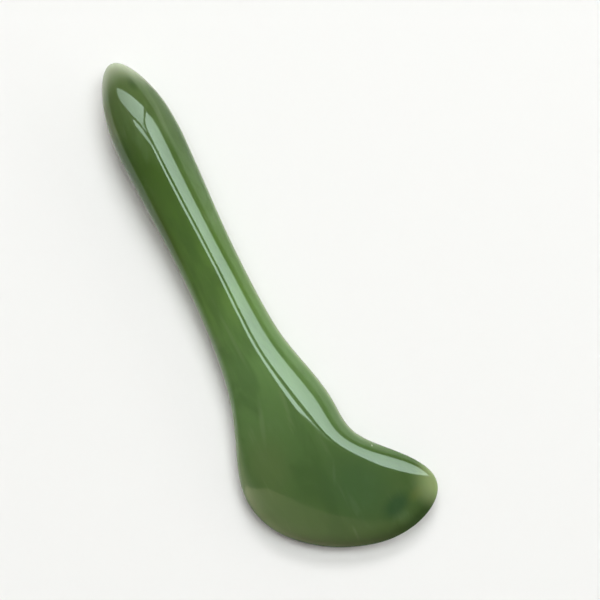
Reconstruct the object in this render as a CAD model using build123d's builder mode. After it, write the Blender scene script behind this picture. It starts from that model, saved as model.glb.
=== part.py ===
from build123d import *
import os

# A hand-held gua sha scraper, carved from one piece of green stone and polished all over. It has a pointed
# butt, a waisted handle and a broad head that turns into a hook. Both faces are alike, so three drawings give
# the whole stone: its plan, the ridge along which it is thickest, and its side view. Every cross-section is
# made of quarter ellipses that meet on the ridge and on the plan's edge.
#
# Sizes are in millimetres. X runs across the handle, positive on the hook's side, Y runs from the belly up to
# the butt, and Z is the direction of the thickness. While it is drawn, the handle's axis is at X = 0 and the
# lowest point of the belly at Y = 0. The finished stone lies with the middle of its underside at the origin.

# Plan of the handle, and the whole length.
length = 150.0
butt_width = 18.5
butt_length = 22.5
neck_width = 16.3
neck_height = 89.0

# Plan of the head: places are measured across from the handle's axis and up from the belly.
shoulder_reach = 14.4
shoulder_height = 38.0
crook_reach = 16.2
crook_height = 29.8
hook_reach = 30.1
hook_height = 10.0
belly_reach = 13.6
heel_reach = 19.1
heel_height = 26.8

# The ridge: how far it leans away from the hook at the butt, where it starts to turn from the axis, and the
# two places that it passes beside the shoulder and the crook.
ridge_lean = 1.0
ridge_turn = (0.4, 54.0)
ridge_shoulder = (4.7, 38.0)
ridge_crook = (11.5, 22.0)

# The side view: the thickness of the butt where it is widest, of the waist and of the head, which thins from
# there to the belly.
butt_thickness = 14.2
waist_thickness = 9.0
waist_height = 78.0
head_thickness = 10.3
head_height = 49.0

# The heights of the cross-sections: shares of the butt, of the handle below it, then of the head, past the
# crook and past the belly.
butt_shares = (0.02, 0.08, 0.18, 0.33, 0.51, 0.73, 1)
handle_shares = (0.07, 0.16, 0.28, 0.41, 0.54, 0.66, 0.74, 0.8, 0.85, 0.89, 0.92, 0.95, 0.98, 1)
crook_shares = (0.05, 0.1, 0.15, 0.2, 0.25, 0.3, 0.36, 0.43)
belly_shares = (0.51, 0.6, 0.69, 0.78, 0.86, 0.92, 0.96, 0.985, 0.997)


def bend(start, leaving, arriving, end):
    """Draw a curve whose two pulls are given as shares of the way across and up from start to end."""
    across, up = end[0] - start[0], end[1] - start[1]
    first = (start[0] + leaving[0] * across, start[1] + leaving[1] * up)
    second = (start[0] + arriving[0] * across, start[1] + arriving[1] * up)
    Bezier(start, first, second, end)


butt_height = length - butt_length
butt_tip = (0, length)
butt_right = (butt_width / 2, butt_height)
butt_left = (-butt_width / 2, butt_height)
neck_right = (neck_width / 2, neck_height)
neck_left = (-neck_width / 2, neck_height)
shoulder = (shoulder_reach, shoulder_height)
crook = (crook_reach, crook_height)
hook_tip = (hook_reach, hook_height)
belly = (belly_reach, 0)
heel = (-heel_reach, heel_height)

with BuildSketch() as plan:
    with BuildLine():
        bend(butt_tip, (0.49, 0), (1, 0.53), butt_right)
        bend(butt_right, (0, 0.4), (1, 0.6), neck_right)
        bend(neck_right, (0, 0.75), (0.74, 0.58), shoulder)
        bend(shoulder, (0.1, 0.3), (0.35, 0.81), crook)
        bend(crook, (0.4, 0.37), (1, 0.71), hook_tip)
        bend(hook_tip, (0, 0.57), (0.45, 1), belly)
        bend(belly, (0.37, 0), (1, 0.4), heel)
        bend(heel, (0, 0.26), (1, 0.22), neck_left)
        bend(neck_left, (0, 0.4), (1, 0.6), butt_left)
        bend(butt_left, (0, 0.47), (0.51, 1), butt_tip)
    make_face()
plan_face = plan.sketch.face()

# The ridge leans away from the hook at the butt, comes to the axis at the neck, swings out beside the crook
# and ends at the belly.
ridge_butt = (-ridge_lean, butt_height)
ridge_neck = (0, neck_height)

with BuildLine() as ridge:
    bend(butt_tip, (0, 0.4), (1, 0.6), ridge_butt)
    bend(ridge_butt, (0, 0.4), (1, 0.6), ridge_neck)
    Spline(ridge_neck, ridge_turn, ridge_shoulder, ridge_crook, belly, tangents=((0, -1), (0, -1)))
ridge_line = ridge.wire()

# The upper half of the side view, with the stone's height along X and half of its thickness along Y.
side_belly = (0, 0)
side_head = (head_height, head_thickness / 2)
side_waist = (waist_height, waist_thickness / 2)
side_butt = (butt_height, butt_thickness / 2)
side_tip = (length, 0)

with BuildSketch() as side:
    with BuildLine():
        bend(side_belly, (0, 0.5), (0.85, 1), side_head)
        bend(side_head, (0.4, 0), (0.35, 1), side_waist)
        bend(side_waist, (0.4, 0), (0.6, 1), side_butt)
        bend(side_butt, (0.5, 0), (1, 0.5), side_tip)
        Line(side_tip, side_belly)
    make_face()
side_face = side.sketch.face()

# The stone touches the table under the head and under the butt, so its middle rises from head to butt.
rise = (butt_thickness - head_thickness) / 2 / (butt_height - head_height)

heights = [length - share * butt_length for share in butt_shares]
heights += [butt_height - share * (butt_height - shoulder_height) for share in handle_shares]
heights += [shoulder_height * (1 - share) for share in crook_shares + belly_shares]

sections = []
for height in heights:
    level = Edge.make_line((-length, height), (length, height))
    upright = Edge.make_line((height, 0), (height, butt_thickness))
    chord = (level & plan_face).bounding_box()
    crest = (level & ridge_line).center()
    half = (upright & side_face).length
    right = chord.max.X - crest.X
    left = crest.X - chord.min.X
    middle = (crest.X, height, height * rise)
    with BuildSketch(Plane(origin=middle, x_dir=(1, 0, 0), z_dir=(0, -1, 0))) as section:
        with BuildLine():
            EllipticalCenterArc((0, 0), right, half, 270)
            EllipticalCenterArc((0, 0), right, half, 0)
            EllipticalCenterArc((0, 0), left, half, 90)
            EllipticalCenterArc((0, 0), left, half, 180)
        make_face()
    sections.append(section.sketch.face())

with BuildPart() as scraper_body:
    loft(sections=[Vertex(*butt_tip, length * rise), *sections, Vertex(*belly)])

# The stone lies on its underside, with the middle of its box over the origin.
box = scraper_body.part.bounding_box()
scraper_body.part.position = (-box.center().X, -box.center().Y, -box.min.Z)

scraper_body.part.label = "scraper_body"

os.makedirs("parts", exist_ok=True)
export_step(scraper_body.part, "parts/scraper_body.step")
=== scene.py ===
"""A gua sha scraper: one polished green stone with a pointed butt, a waisted handle and a hooked head.

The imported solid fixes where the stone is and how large. The visible stone is modelled over it from a sphere
whose rings are drawn to the solid's measured cross-sections, then polished by hand and given its finish.
Everything is in metres. X runs across the handle towards the hook, Y from the head to the butt, and Z up.
"""

import logging
import math
from dataclasses import dataclass, field
from enum import Enum

import bmesh
import bpy
import numpy as np
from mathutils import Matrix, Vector


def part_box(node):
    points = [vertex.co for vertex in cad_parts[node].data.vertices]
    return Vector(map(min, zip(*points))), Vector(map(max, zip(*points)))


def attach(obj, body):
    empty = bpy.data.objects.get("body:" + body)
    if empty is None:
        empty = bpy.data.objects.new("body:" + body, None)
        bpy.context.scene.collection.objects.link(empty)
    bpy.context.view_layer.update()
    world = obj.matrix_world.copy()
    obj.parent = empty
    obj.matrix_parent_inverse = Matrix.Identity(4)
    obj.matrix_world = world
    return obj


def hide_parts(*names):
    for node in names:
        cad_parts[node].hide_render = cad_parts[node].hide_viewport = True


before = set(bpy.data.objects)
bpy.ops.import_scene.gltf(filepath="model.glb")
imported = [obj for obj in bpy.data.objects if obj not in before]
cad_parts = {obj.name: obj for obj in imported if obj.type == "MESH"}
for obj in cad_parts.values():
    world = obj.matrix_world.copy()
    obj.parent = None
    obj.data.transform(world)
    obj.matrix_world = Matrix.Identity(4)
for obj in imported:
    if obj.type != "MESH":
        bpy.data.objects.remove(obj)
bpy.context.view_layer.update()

MM = 0.001
log = logging.getLogger("scraper")

Colour = tuple[float, float, float]
Spot = tuple[float, float, float]
Socket = bpy.types.NodeSocket


def mm(x: float, y: float, z: float) -> Spot:
    """Return a place or a size that is given in millimetres."""
    return (x * MM, y * MM, z * MM)


def rgba(colour: Colour) -> tuple[float, float, float, float]:
    """Return a colour with its alpha."""
    return (*colour, 1.0)


class Side(Enum):
    """The two sides of the ridge, by the direction in which they lie across the handle."""

    HOOK = 1
    HEEL = -1


@dataclass(frozen=True)
class Section:
    """One cross-section of the stone, square to its length: four quarter ellipses that meet on the ridge."""

    height: float
    crest: float
    middle: float
    hook_reach: float
    heel_reach: float
    half: float


class SolidGauge:
    """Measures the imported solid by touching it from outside, as with a height gauge."""

    clear: float = 10 * MM
    rough_steps: int = 240
    fine_steps: int = 160
    flank: tuple[float, float] = (0.3, 0.9)

    def __init__(self, node: bpy.types.Object, name: str) -> None:
        """Keep the solid and its box.

        Args:
            node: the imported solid, which is only read.
            name: its name in the frame.
        """
        self.node = node
        self.low, self.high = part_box(name)

    def touch(self, start: Spot, direction: Spot) -> Vector | None:
        """Return the first place that a straight feeler meets, or None."""
        met, place, _, _ = self.node.ray_cast(Vector(start), Vector(direction))
        return place if met else None

    def levels(self, x: float, y: float) -> tuple[float, float] | None:
        """Feel one place from below and from above.

        Args:
            x: where across the stone.
            y: where along it.

        Returns:
            The lower and the upper surface's height, or None beside the stone.
        """
        lower = self.touch((x, y, self.low.z - self.clear), (0, 0, 1))
        upper = self.touch((x, y, self.high.z + self.clear), (0, 0, -1))
        if lower is None or upper is None:
            return None
        return lower.z, upper.z

    def scan(self, y: float, low: float, high: float, steps: int) -> np.ndarray:
        """Feel across the stone.

        Args:
            y: where along the stone.
            low: where the scan starts across it.
            high: where it ends.
            steps: how many places it touches.

        Returns:
            One row for each place met: across, middle and half thickness.
        """
        rows = []
        for x in np.linspace(low, high, steps):
            pair = self.levels(float(x), y)
            if pair is not None:
                rows.append((x, (pair[0] + pair[1]) / 2, (pair[1] - pair[0]) / 2))
        return np.array(rows)

    def section(self, y: float) -> Section:
        """Measure the cross-section at one place along the stone.

        The ridge is nearly flat on top, so its place comes from how steeply the flanks fall to the two ends.

        Args:
            y: where along the stone.

        Returns:
            The section's size and place.
        """
        rough = self.scan(y, self.low.x, self.high.x, self.rough_steps)
        thickest = rough[rough[:, 2].argmax()]
        middle = float(thickest[1])
        hook_end = self.touch((self.high.x + self.clear, y, middle), (-1, 0, 0)).x
        heel_end = self.touch((self.low.x - self.clear, y, middle), (1, 0, 0)).x
        fine = self.scan(y, heel_end, hook_end, self.fine_steps)
        half = float(fine[:, 2].max())
        fall = np.sqrt(np.clip(1 - (fine[:, 2] / half) ** 2, 0, 1))
        steep = (fall > self.flank[0]) & (fall < self.flank[1])
        across, fall = fine[steep, 0], fall[steep]
        end = np.where(across > thickest[0], hook_end, heel_end)
        crest = float(((1 - fall) * (across - fall * end)).sum() / ((1 - fall) ** 2).sum())
        return Section(y, crest, middle, hook_end - crest, crest - heel_end, half)


def smooth_through(places: np.ndarray, values: np.ndarray, wanted: np.ndarray) -> np.ndarray:
    """Draw a natural cubic curve through measured values.

    Args:
        places: where the values were measured, rising.
        values: the measured values.
        wanted: where the curve is read.

    Returns:
        The curve's value at each wanted place.
    """
    gaps = np.diff(places)
    rises = np.diff(values) / gaps
    count = len(places)
    system = np.eye(count)
    turns = np.zeros(count)
    for i in range(1, count - 1):
        system[i, i - 1 : i + 2] = gaps[i - 1], 2 * (gaps[i - 1] + gaps[i]), gaps[i]
        turns[i] = 6 * (rises[i] - rises[i - 1])
    bends = np.linalg.solve(system, turns)
    cell = np.clip(np.searchsorted(places, wanted) - 1, 0, count - 2)
    gap, along = gaps[cell], wanted - places[cell]
    back = gap - along
    curve = (bends[cell] * back**3 + bends[cell + 1] * along**3) / (6 * gap)
    curve += (values[cell] / gap - bends[cell] * gap / 6) * back
    curve += (values[cell + 1] / gap - bends[cell + 1] * gap / 6) * along
    return curve


class Wiring:
    """Places nodes in a node tree and joins them."""

    def __init__(self, tree: bpy.types.NodeTree) -> None:
        """Take a node tree and empty it."""
        self.tree = tree
        tree.nodes.clear()

    def place(self, kind: str, options: dict | None = None, inputs: dict | None = None) -> bpy.types.Node:
        """Add one node.

        Args:
            kind: the node's type.
            options: its properties, by name.
            inputs: its sockets, by name or number, each with a value or with the output that feeds it.

        Returns:
            The new node.
        """
        node = self.tree.nodes.new(kind)
        for name, value in (options or {}).items():
            setattr(node, name, value)
        for key, value in (inputs or {}).items():
            if isinstance(value, Socket):
                self.tree.links.new(value, node.inputs[key])
            else:
                node.inputs[key].default_value = value
        return node

    def math(self, operation: str, first: object, second: object = 0.0) -> Socket:
        """Add a Math node and return its result."""
        node = self.place("ShaderNodeMath", {"operation": operation}, {0: first, 1: second})
        return node.outputs[0]

    def ramp(self, value: Socket, start: float, end: float, top: float = 1.0) -> Socket:
        """Add a smooth step.

        Args:
            value: what it reads.
            start: where it is 0.
            end: where it reaches its top.
            top: its highest value.

        Returns:
            The step's output.
        """
        limits = {"Value": value, "From Min": start, "From Max": end, "To Max": top}
        node = self.place("ShaderNodeMapRange", {"interpolation_type": "SMOOTHSTEP"}, limits)
        return node.outputs[0]

    def blend(self, share: object, under: object, over: object, mode: str = "MIX") -> Socket:
        """Lay one colour over another.

        Args:
            share: how much of the upper colour shows.
            under: the lower colour.
            over: the upper colour.
            mode: how the two are mixed.

        Returns:
            The mixed colour.
        """
        options = {"data_type": "RGBA", "blend_type": mode}
        node = self.place("ShaderNodeMix", options, {0: share, 6: under, 7: over})
        return node.outputs[2]


@dataclass(frozen=True)
class Tone:
    """A colour that comes in from one level of a noise to another, up to its share."""

    colour: Colour
    start: float
    full: float
    share: float


@dataclass(frozen=True)
class Grain:
    """A noise drawn out along the stone, and the tones that it lays over the stone's colour."""

    scale: Spot
    detail: float
    roughness: float
    distortion: float
    tones: tuple[Tone, ...]


@dataclass(frozen=True)
class Patch:
    """A soft-edged patch of another colour on the stone, its own tone or painted shade or light: its middle,
    its reach each way and its turn.
    """

    name: str
    centre: Spot
    reach: Spot
    turn: float
    colour: Colour
    share: float


@dataclass(frozen=True)
class Edge:
    """A thin edge painted in another colour, up to its share: painted light on thin edges, painted shade on
    the belly's.

    It comes in from its thick to its thin limit, which are shares of the stone's greatest thickness, and
    along the stone from its start to where it is full.
    """

    colour: Colour
    share: float
    thick: float
    thin: float
    start: float
    full: float


@dataclass(frozen=True)
class JadeFinish:
    """Polished green stone, cloudy and faintly streaked along its length, with painted light and shade on its
    edges.

    The shades run from the belly at 0 to the butt's tip at 1.
    """

    half_length: float
    name: str = "jade"
    shades: tuple[tuple[float, Colour], ...] = (
        (0.0, (0.056, 0.102, 0.026)),
        (0.10, (0.062, 0.114, 0.030)),
        (0.20, (0.068, 0.130, 0.035)),
        (0.40, (0.112, 0.206, 0.062)),
        (0.53, (0.100, 0.186, 0.042)),
        (0.67, (0.074, 0.145, 0.026)),
        (0.80, (0.048, 0.098, 0.014)),
        (0.90, (0.066, 0.112, 0.030)),
        (1.0, (0.085, 0.125, 0.045)),
    )
    clouds: Grain = Grain(
        (110, 34, 60), 4.0, 0.55, 0.5,
        (Tone((0.035, 0.078, 0.018), 0.52, 0.34, 0.35), Tone((0.13, 0.21, 0.085), 0.54, 0.74, 0.3)),
    )
    veins: Grain = Grain((420, 60, 120), 2.0, 0.5, 0.3, (Tone((0.16, 0.22, 0.10), 0.60, 0.78, 0.28),))
    patches: tuple[Patch, ...] = (
        Patch("dark fleck by the tip", mm(-2.6, 67.0, 7), mm(1.9, 4.2, 9), 0.1, (0.018, 0.046, 0.010), 0.8),
        Patch("olive butt flank", mm(-12.5, 60, 6), mm(3.4, 12, 9), -0.1, (0.165, 0.180, 0.060), 0.75),
        Patch("dark spot in the hook", mm(11.5, -67, 6), mm(6.5, 4.2, 9), 0.4, (0.022, 0.062, 0.020), 0.8),
        Patch("olive beside that spot", mm(18, -66.5, 5), mm(3.8, 2.4, 9), 0.4, (0.088, 0.125, 0.025), 0.55),
        Patch("pale streak in the waist", mm(-8.5, -7, 10), mm(0.8, 12, 9), 0.02, (0.14, 0.22, 0.085), 0.35),
        Patch("pale streak to the heel", mm(-11.5, -31, 10), mm(1.1, 9, 9), -0.32, (0.14, 0.21, 0.09), 0.35),
        Patch("pale streak in the head", mm(0.2, -51.5, 9), mm(0.7, 4.5, 9), -0.4, (0.12, 0.18, 0.075), 0.3),
        Patch("cool middle of the head", mm(4.5, -58, 6), mm(13, 15, 14), 0.3, (0.046, 0.104, 0.034), 0.55),
        Patch("warm heel", mm(-15, -42, 6), mm(9, 14, 14), -0.2, (0.100, 0.142, 0.046), 0.45),
        # Painted shade: the handle's heel-side flank, turned away from the skylight, is darkened.
        Patch("painted shade on the handle flank", mm(-12, 28, 7), mm(2.4, 18, 9), 0.0, (0.050, 0.080, 0.010), 0.6),
        Patch("pale speck", mm(12.8, -49.3, 8), mm(0.35, 0.5, 3), 0.0, (0.42, 0.46, 0.34), 0.9),
    )
    patch_core: float = 0.2
    # Painted light: the thin flanks and the butt's thin tip are painted pale, standing in for light that
    # comes through them.
    flanks: Edge = Edge((0.30, 0.36, 0.21), 0.7, 0.34, 0.06, -55 * MM, -42 * MM)
    tip: Edge = Edge((0.37, 0.41, 0.29), 0.85, 0.72, 0.22, 62 * MM, 72 * MM)
    # Painted shade: a dark rim along the belly's edge, standing in for the shadowed floor that it reflects.
    belly: Edge = Edge((0.026, 0.052, 0.010), 0.9, 0.24, 0.09, -58 * MM, -66 * MM)
    # Painted light: the hook's thin edge is painted pale, standing in for light that comes through it.
    hook: Patch = Patch("painted light in the hook", mm(25, -66, 5), mm(9.5, 9, 12), 0.0, (0.27, 0.34, 0.15), 0.85)
    hook_light_thick: float = 0.42
    hook_light_thin: float = 0.12
    roughness: float = 0.045
    wiped: float = 0.03
    wipe_size: float = 70.0
    wipe_levels: tuple[float, float] = (0.45, 0.75)
    refraction: float = 1.6
    sheen: Colour = (0.82, 1.0, 0.90)
    glow: float = 0.3
    glow_depth: float = 2.0 * MM
    glow_spread: Spot = (0.6, 1.0, 0.4)

    def material(self) -> bpy.types.Material:
        """Build the material.

        Returns:
            The finished material.
        """
        material = bpy.data.materials.new(self.name)
        material.use_nodes = True
        wiring = Wiring(material.node_tree)
        place = wiring.place("ShaderNodeTexCoord").outputs["Object"]
        colour = self.shade(wiring, place)
        for grain in (self.clouds, self.veins):
            colour = self.cloud(wiring, place, colour, grain)
        for patch in self.patches:
            colour = wiring.blend(self.patch_mask(wiring, place, patch), colour, rgba(patch.colour))
        colour = self.edges(wiring, place, colour)
        shader = wiring.place(
            "ShaderNodeBsdfPrincipled",
            {},
            {
                "Base Color": colour,
                "Roughness": self.wiping(wiring, place),
                "IOR": self.refraction,
                "Specular Tint": rgba(self.sheen),
                "Subsurface Weight": self.glow,
                "Subsurface Radius": self.glow_spread,
                "Subsurface Scale": self.glow_depth,
            },
        )
        wiring.place("ShaderNodeOutputMaterial", {}, {"Surface": shader.outputs[0]})
        return material

    def shade(self, wiring: Wiring, place: Socket) -> Socket:
        """Colour the stone slowly along its length.

        Args:
            wiring: where the nodes go.
            place: the place on the stone.

        Returns:
            The stone's own colour.
        """
        parts = wiring.place("ShaderNodeSeparateXYZ", {}, {0: place})
        limits = {"Value": parts.outputs["Y"], "From Min": -self.half_length, "From Max": self.half_length}
        along = wiring.place("ShaderNodeMapRange", {}, limits).outputs[0]
        slow = wiring.place("ShaderNodeValToRGB", {}, {"Fac": along})
        stops = slow.color_ramp.elements
        stops[0].color, stops[-1].color = rgba(self.shades[0][1]), rgba(self.shades[-1][1])
        for share, colour in self.shades[1:-1]:
            stops.new(share).color = rgba(colour)
        return slow.outputs["Color"]

    def cloud(self, wiring: Wiring, place: Socket, colour: Socket, grain: Grain) -> Socket:
        """Lay a grain's tones over a colour.

        Args:
            wiring: where the nodes go.
            place: the place on the stone.
            colour: the colour under the grain.
            grain: the noise and its tones.

        Returns:
            The clouded colour.
        """
        drawn = wiring.place("ShaderNodeMapping", {}, {"Vector": place, "Scale": grain.scale})
        settings = {
            "Vector": drawn.outputs[0],
            "Scale": 1.0,
            "Detail": grain.detail,
            "Roughness": grain.roughness,
            "Distortion": grain.distortion,
        }
        noise = wiring.place("ShaderNodeTexNoise", {"noise_dimensions": "3D"}, settings).outputs["Fac"]
        for tone in grain.tones:
            share = wiring.ramp(noise, tone.start, tone.full, tone.share)
            colour = wiring.blend(share, colour, rgba(tone.colour))
        return colour

    def patch_mask(self, wiring: Wiring, place: Socket, patch: Patch) -> Socket:
        """Work out where a patch shows.

        Args:
            wiring: where the nodes go.
            place: the place on the stone.
            patch: the patch.

        Returns:
            How much of the patch shows at each place.
        """
        turn = (0, 0, patch.turn)
        settings = {"Vector": place, "Location": patch.centre, "Rotation": turn, "Scale": patch.reach}
        options = {"vector_type": "TEXTURE", "label": patch.name}
        local = wiring.place("ShaderNodeMapping", options, settings)
        away = wiring.place("ShaderNodeVectorMath", {"operation": "LENGTH"}, {0: local.outputs[0]})
        return wiring.ramp(away.outputs["Value"], 1.0, self.patch_core, patch.share)

    def edges(self, wiring: Wiring, place: Socket, colour: Socket) -> Socket:
        """Lay the painted edges over a colour: painted light where light comes through the thin edges, and
        painted shade along the belly's edge.

        Args:
            wiring: where the nodes go.
            place: the place on the stone.
            colour: the colour under the edges.

        Returns:
            The colour with its edges.
        """
        height = wiring.place("ShaderNodeSeparateXYZ", {}, {0: place}).outputs["Y"]
        depth = wiring.place("ShaderNodeAttribute", {"attribute_name": "thickness"}).outputs["Fac"]
        # Painted light on the thin flanks and the tip, painted shade along the belly's edge.
        for edge in (self.flanks, self.tip, self.belly):
            thin = wiring.ramp(depth, edge.thick, edge.thin, edge.share)
            stretch = wiring.ramp(height, edge.start, edge.full)
            colour = wiring.blend(wiring.math("MULTIPLY", thin, stretch), colour, rgba(edge.colour))
        # Painted light through the hook's thin edge.
        thin = wiring.ramp(depth, self.hook_light_thick, self.hook_light_thin)
        near = self.patch_mask(wiring, place, self.hook)
        return wiring.blend(wiring.math("MULTIPLY", thin, near), colour, rgba(self.hook.colour))

    def wiping(self, wiring: Wiring, place: Socket) -> Socket:
        """Make the polish uneven, as on a stone that is wiped and handled.

        Args:
            wiring: where the nodes go.
            place: the place on the stone.

        Returns:
            The roughness.
        """
        settings = {"Vector": place, "Scale": self.wipe_size, "Detail": 3.0}
        noise = wiring.place("ShaderNodeTexNoise", {}, settings).outputs["Fac"]
        return wiring.math("ADD", wiring.ramp(noise, *self.wipe_levels, self.wiped), self.roughness)


@dataclass
class ScraperBody:
    """The stone itself.

    It starts as a sphere with its poles at the butt's tip and at the belly. Each ring is drawn out on both
    sides of the ridge, flattened, and moved to its place.
    """

    name: str = "polished_stone"
    node: str = "scraper_body"
    slot: str = "jade"
    segments: int = 96
    rings: int = 160
    station: int = 8
    polish: float = 0.05 * MM
    polish_size: float = 16 * MM
    sliver: float = 0.0001 * MM
    reach: float = field(init=False)
    angles: np.ndarray = field(init=False)

    def __post_init__(self) -> None:
        """Take the stone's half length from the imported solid, and the turn from its tip to each ring."""
        low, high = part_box(self.node)
        self.reach = (high.y - low.y) / 2
        self.angles = np.linspace(0, math.pi, self.rings + 1)

    def build(self) -> bpy.types.Object:
        """Model and dress the stone.

        Returns:
            The finished piece.
        """
        sections = self.measure()
        stone = self.start()
        self.draw_out(stone, sections)
        self.smooth(stone)
        self.mark_thickness(stone, sections)
        stone.data.materials.append(JadeFinish(self.reach).material())
        return stone

    def measure(self) -> list[Section]:
        """Measure the solid at evenly turned stations and draw smooth curves through them.

        Returns:
            A section for each of the sphere's rings, the two poles among them.
        """
        gauge = SolidGauge(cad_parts[self.node], self.node)
        numbers = np.arange(self.station, self.rings, self.station)
        stations = self.angles[numbers]
        found = [gauge.section(float(self.reach * math.cos(angle))) for angle in stations]
        radius = self.reach * np.sin(stations)

        def curve(values: list[float]) -> np.ndarray:
            """Return the values at every ring, from those at the stations."""
            return smooth_through(stations, np.array(values), self.angles)

        crest = curve([section.crest for section in found])
        middle = curve([section.middle for section in found])
        hook = curve([section.hook_reach for section in found] / radius)
        heel = curve([section.heel_reach for section in found] / radius)
        half = curve([section.half for section in found] / radius)
        sections = []
        for i, angle in enumerate(self.angles):
            height, size = self.reach * math.cos(angle), self.reach * math.sin(angle)
            reaches = (size * hook[i], size * heel[i])
            sections.append(Section(height, crest[i], middle[i], *reaches, size * half[i]))
        return sections

    def start(self) -> bpy.types.Object:
        """Add the sphere, with its poles at the two ends of the stone.

        Returns:
            The sphere.
        """
        bpy.ops.object.select_all(action="DESELECT")
        bpy.ops.mesh.primitive_uv_sphere_add(
            segments=self.segments, ring_count=self.rings, radius=self.reach, rotation=(-math.pi / 2, 0, 0)
        )
        stone = bpy.context.active_object
        stone.name = self.name
        stone.data.name = self.name
        bpy.ops.object.transform_apply(location=False, rotation=True, scale=False)
        return stone

    def draw_out(self, stone: bpy.types.Object, sections: list[Section]) -> None:
        """Give every ring its section's size and place.

        Args:
            stone: the sphere.
            sections: a section for each ring, from the butt to the belly.
        """
        bpy.ops.object.mode_set(mode="EDIT")
        bpy.ops.mesh.select_all(action="DESELECT")
        mesh = bmesh.from_edit_mesh(stone.data)
        rings = [[] for _ in sections]
        for vertex in mesh.verts:
            angle = math.acos(max(-1.0, min(1.0, vertex.co.y / self.reach)))
            rings[round(angle / math.pi * self.rings)].append(vertex)
        for ring, section in zip(rings, sections):
            radius = math.sqrt(max(0.0, self.reach**2 - section.height**2))
            centre = (0, section.height, 0)
            if radius > self.sliver and len(ring) > 1:
                for side in Side:
                    wide = section.hook_reach if side is Side.HOOK else section.heel_reach
                    for vertex in ring:
                        vertex.select = vertex.co.x * side.value > self.sliver
                    bpy.ops.transform.resize(value=(wide / radius, 1, 1), center_override=centre)
                    for vertex in ring:
                        vertex.select = False
            for vertex in ring:
                vertex.select = True
            if radius > self.sliver:
                bpy.ops.transform.resize(value=(1, 1, section.half / radius), center_override=centre)
            bpy.ops.transform.translate(value=(section.crest, 0, section.middle))
            for vertex in ring:
                vertex.select = False
        bpy.ops.object.mode_set(mode="OBJECT")

    def smooth(self, stone: bpy.types.Object) -> None:
        """Round the stone and leave the slight unevenness of polishing by hand.

        Args:
            stone: the drawn-out sphere.
        """
        rounding = stone.modifiers.new("rounding", "SUBSURF")
        rounding.levels = rounding.render_levels = 1
        bpy.ops.object.modifier_apply(modifier=rounding.name)
        unevenness = bpy.data.textures.new("hand_polish", "CLOUDS")
        unevenness.noise_scale = self.polish_size
        unevenness.noise_depth = 1
        polish = stone.modifiers.new("polish", "DISPLACE")
        polish.texture = unevenness
        polish.texture_coords = "LOCAL"
        polish.mid_level = 1.0
        polish.strength = self.polish
        bpy.ops.object.modifier_apply(modifier=polish.name)
        bpy.ops.object.shade_smooth()

    def mark_thickness(self, stone: bpy.types.Object, sections: list[Section]) -> None:
        """Write how thick the stone is at each vertex, as a share of its greatest thickness.

        Args:
            stone: the finished mesh.
            sections: the sections, from the butt to the belly.
        """
        heights = np.array([section.height for section in sections])[::-1]
        middles = np.array([section.middle for section in sections])[::-1]
        greatest = max(section.half for section in sections)
        points = np.empty(len(stone.data.vertices) * 3, np.float32)
        stone.data.vertices.foreach_get("co", points)
        points = points.reshape(-1, 3)
        depth = np.abs(points[:, 2] - np.interp(points[:, 1], heights, middles)) / greatest
        layer = stone.data.attributes.new("thickness", "FLOAT", "POINT")
        layer.data.foreach_set("value", depth.astype(np.float32))


@dataclass(frozen=True)
class Pane:
    """A lit sheet over the stone, whose strength fades evenly between two places across it.

    Its corners go round it one way. They and the fade are given for each metre of its height.
    """

    name: str
    corners: tuple[tuple[float, float], ...]
    left: float
    right: float
    height: float = 4.0
    colour: Colour = (0.95, 1.0, 0.98)
    fade: tuple[float, float] = (0.275, 0.9)
    lights_room: bool = True


class FadeGroup:
    """The fade of a lit sheet, as a node group that every sheet's material uses with its own values."""

    name: str = "sheet_fade"
    numbers: tuple[str, ...] = ("Start", "End", "Left", "Right")

    def __init__(self) -> None:
        """Build the group: a colour, made stronger or weaker by how far across the sheet a place is."""
        self.tree = bpy.data.node_groups.new(self.name, "ShaderNodeTree")
        for name in self.numbers:
            self.tree.interface.new_socket(name=name, in_out="INPUT", socket_type="NodeSocketFloat")
        self.tree.interface.new_socket(name="Colour", in_out="INPUT", socket_type="NodeSocketColor")
        self.tree.interface.new_socket(name="Light", in_out="OUTPUT", socket_type="NodeSocketColor")
        wiring = Wiring(self.tree)
        given = wiring.place("NodeGroupInput").outputs
        place = wiring.place("ShaderNodeTexCoord").outputs["Object"]
        limits = {
            "Value": wiring.place("ShaderNodeSeparateXYZ", {}, {0: place}).outputs["X"],
            "From Min": given["Start"],
            "From Max": given["End"],
            "To Min": given["Left"],
            "To Max": given["Right"],
        }
        strength = wiring.place("ShaderNodeMapRange", {}, limits).outputs[0]
        light = wiring.blend(1.0, given["Colour"], strength, "MULTIPLY")
        wiring.place("NodeGroupOutput", {}, {"Light": light})

    def material(self, pane: Pane) -> bpy.types.Material:
        """Build one sheet's material.

        Args:
            pane: the sheet's colour, strengths and fade.

        Returns:
            The lit material.
        """
        material = bpy.data.materials.new(pane.name)
        material.use_nodes = True
        wiring = Wiring(material.node_tree)
        values = (pane.fade[0] * pane.height, pane.fade[1] * pane.height, pane.left, pane.right)
        inputs = dict(zip(self.numbers, values)) | {"Colour": rgba(pane.colour)}
        fade = wiring.place("ShaderNodeGroup", {"node_tree": self.tree}, inputs)
        lamp = wiring.place("ShaderNodeEmission", {}, {"Color": fade.outputs["Light"]})
        wiring.place("ShaderNodeOutputMaterial", {}, {"Surface": lamp.outputs[0]})
        return material


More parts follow.
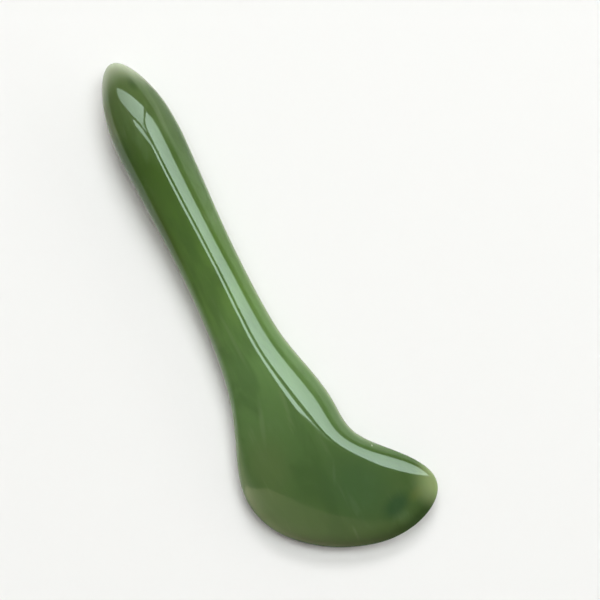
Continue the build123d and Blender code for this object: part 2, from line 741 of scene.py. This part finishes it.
@dataclass
class Studio:
    """The plain floor, the skylight with its dark glazing bars, the room's soft light and the camera."""

    floor_colour: Colour = (0.855, 0.85, 0.852)
    floor_size: float = 4.0
    floor_roughness: float = 0.9
    floor_shine: float = 0.1
    sheet_span: float = 12.0
    lamp_place: Spot = (1.6, 3.2, 2.4)
    lamp_size: float = 2.0
    lamp_power: float = 145.0
    room_colour: Colour = (0.19, 0.165, 0.15)
    wall_colour: Colour = (1.1, 1.06, 1.0)
    high_wall_lean: Spot = (1.0, 0.0, -1.35)
    high_wall_edge: tuple[float, float] = (0.0, 0.25)
    low_wall_edge: tuple[float, float] = (0.14, 0.08)
    lens: float = 100.0
    view_width: float = 163.8 * MM
    view_turn: float = -26.0
    view_centre: tuple[float, float] = (12.52 * MM, -5.15 * MM)
    view_level: float = 5.5 * MM

    def panes(self) -> list[Pane]:
        """List the lit sheets.

        Returns:
            The skylight's panes, and the brown card that hangs low beside the head.
        """
        narrow = ((0.09, -0.18), (0.185, -0.18), (0.205, 0.055), (0.14, 0.055))
        corner_bend = ((0.10, 0.195), (-0.02, 0.285), (-0.10, 0.30), (-0.085, 0.235))
        corner = ((0.14, 0.055), (0.205, 0.055), *corner_bend)
        wide_end = ((0.90, 0.17), (0.835, 0.265), (0.66, 0.36), (0.36, 0.235))
        wide = ((0.285, -0.2), (0.88, -0.2), *wide_end, (0.285, 0.175))
        crown_left = ((-0.4, 0.94), (-0.5, 0.9), (-0.515, 0.79), (-0.31, 0.53), (0.0, 0.325), (0.15, 0.21))
        crown = (*crown_left, (0.26, 0.22), (0.685, 0.425))
        wedge = ((0.14, 0.215), (0.205, 0.135), (0.255, 0.21))
        card_edge = ((-4.5, -0.37), (-1.46, -0.23), (-0.49, -0.43), (-0.24, -0.57), (0.17, -0.93))
        card = (*card_edge, (0.17, -3.0), (-4.5, -3.0))
        return [
            Pane("narrow_pane", narrow, 6.4, 6.4),
            Pane("corner_pane", corner, 5.0, 5.0),
            Pane("wide_pane", wide, 6.4, 4.4),
            Pane("crown_pane", crown, 2.8, 5.8, fade=(-0.6, 0.6)),
            Pane("wedge_pane", wedge, 3.6, 3.6),
            Pane("brown_card", card, 1.9, 0.2, 0.3, (1.0, 0.74, 0.58), (-1.2, 0.17), False),
        ]

    def build(self) -> None:
        """Set up everything around the stone."""
        self.lay_floor()
        fade = FadeGroup()
        for pane in self.panes():
            self.hang(pane, fade)
        self.hang_lamp()
        self.light_room()
        self.place_camera()
        bpy.context.scene.view_settings.view_transform = "Standard"

    def lay_floor(self) -> None:
        """Lay the plain pale floor."""
        bpy.ops.object.select_all(action="DESELECT")
        bpy.ops.mesh.primitive_plane_add(size=self.floor_size)
        floor = bpy.context.active_object
        floor.name = "floor"
        material = bpy.data.materials.new("floor")
        material.use_nodes = True
        shader = material.node_tree.nodes["Principled BSDF"]
        shader.inputs["Base Color"].default_value = rgba(self.floor_colour)
        shader.inputs["Roughness"].default_value = self.floor_roughness
        shader.inputs["Specular IOR Level"].default_value = self.floor_shine
        floor.data.materials.append(material)

    def hang(self, pane: Pane, fade: FadeGroup) -> None:
        """Cut one sheet out of a plane over the stone and light it.

        Args:
            pane: the sheet's outline, place and strength.
            fade: the fade that the sheets share.
        """
        bpy.ops.object.select_all(action="DESELECT")
        height = pane.height
        bpy.ops.mesh.primitive_plane_add(size=self.sheet_span * height, location=(0, 0, height))
        sheet = bpy.context.active_object
        sheet.name = pane.name
        bpy.ops.object.transform_apply(location=True, rotation=False, scale=False)
        corners = [Vector((x * height, y * height, height)) for x, y in pane.corners]
        middle = sum(corners, Vector()) / len(corners)
        bpy.ops.object.mode_set(mode="EDIT")
        for first, second in zip(corners, corners[1:] + corners[:1]):
            bpy.ops.mesh.select_all(action="SELECT")
            along = second - first
            outward = Vector((along.y, -along.x, 0)).normalized()
            if outward.dot(first - middle) < 0:
                outward.negate()
            bpy.ops.mesh.bisect(plane_co=first, plane_no=outward, clear_outer=True)
        bpy.ops.object.mode_set(mode="OBJECT")
        sheet.data.materials.append(fade.material(pane))
        sheet.visible_camera = False
        sheet.visible_diffuse = pane.lights_room

    def hang_lamp(self) -> None:
        """Hang the soft lamp beside the skylight. It lights the floor and the stone without a reflection."""
        data = bpy.data.lights.new("soft_lamp", "AREA")
        data.size = self.lamp_size
        data.energy = self.lamp_power
        lamp = bpy.data.objects.new("soft_lamp", data)
        lamp.location = self.lamp_place
        lamp.visible_glossy = False
        bpy.context.scene.collection.objects.link(lamp)

    def light_room(self) -> None:
        """Give the room its soft light: dim above pale walls, which rise high on the hook's side only."""
        world = bpy.data.worlds.new("room")
        world.use_nodes = True
        bpy.context.scene.world = world
        wiring = Wiring(world.node_tree)
        towards = wiring.place("ShaderNodeTexCoord").outputs["Generated"]
        inputs = {0: towards, 1: self.high_wall_lean}
        lean = wiring.place("ShaderNodeVectorMath", {"operation": "DOT_PRODUCT"}, inputs).outputs["Value"]
        height = wiring.place("ShaderNodeSeparateXYZ", {}, {0: towards}).outputs["Z"]
        high_wall = wiring.ramp(lean, *self.high_wall_edge)
        low_wall = wiring.ramp(height, *self.low_wall_edge)
        wall = wiring.math("MAXIMUM", high_wall, low_wall)
        shade = wiring.blend(wall, rgba(self.room_colour), rgba(self.wall_colour))
        room = wiring.place("ShaderNodeBackground", {}, {"Color": shade, "Strength": 1.0})
        wiring.place("ShaderNodeOutputWorld", {}, {"Surface": room.outputs[0]})

    def place_camera(self) -> None:
        """Look straight down at the stone, turned so that its handle leans to the left."""
        data = bpy.data.cameras.new("camera")
        data.lens = self.lens
        distance = self.view_width * self.lens / data.sensor_width
        camera = bpy.data.objects.new("camera", data)
        camera.location = (*self.view_centre, self.view_level + distance)
        camera.rotation_euler = (0, 0, math.radians(self.view_turn))
        bpy.context.scene.collection.objects.link(camera)
        bpy.context.scene.camera = camera


def main() -> None:
    """Build the stone, then the studio around it."""
    logging.basicConfig(level=logging.INFO, format="%(message)s")
    body = ScraperBody()
    stone = body.build()
    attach(stone, "root")
    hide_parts(body.node)
    log.info("%s: %d faces", stone.name, len(stone.data.polygons))
    Studio().build()


if __name__ == "__main__":
    main()
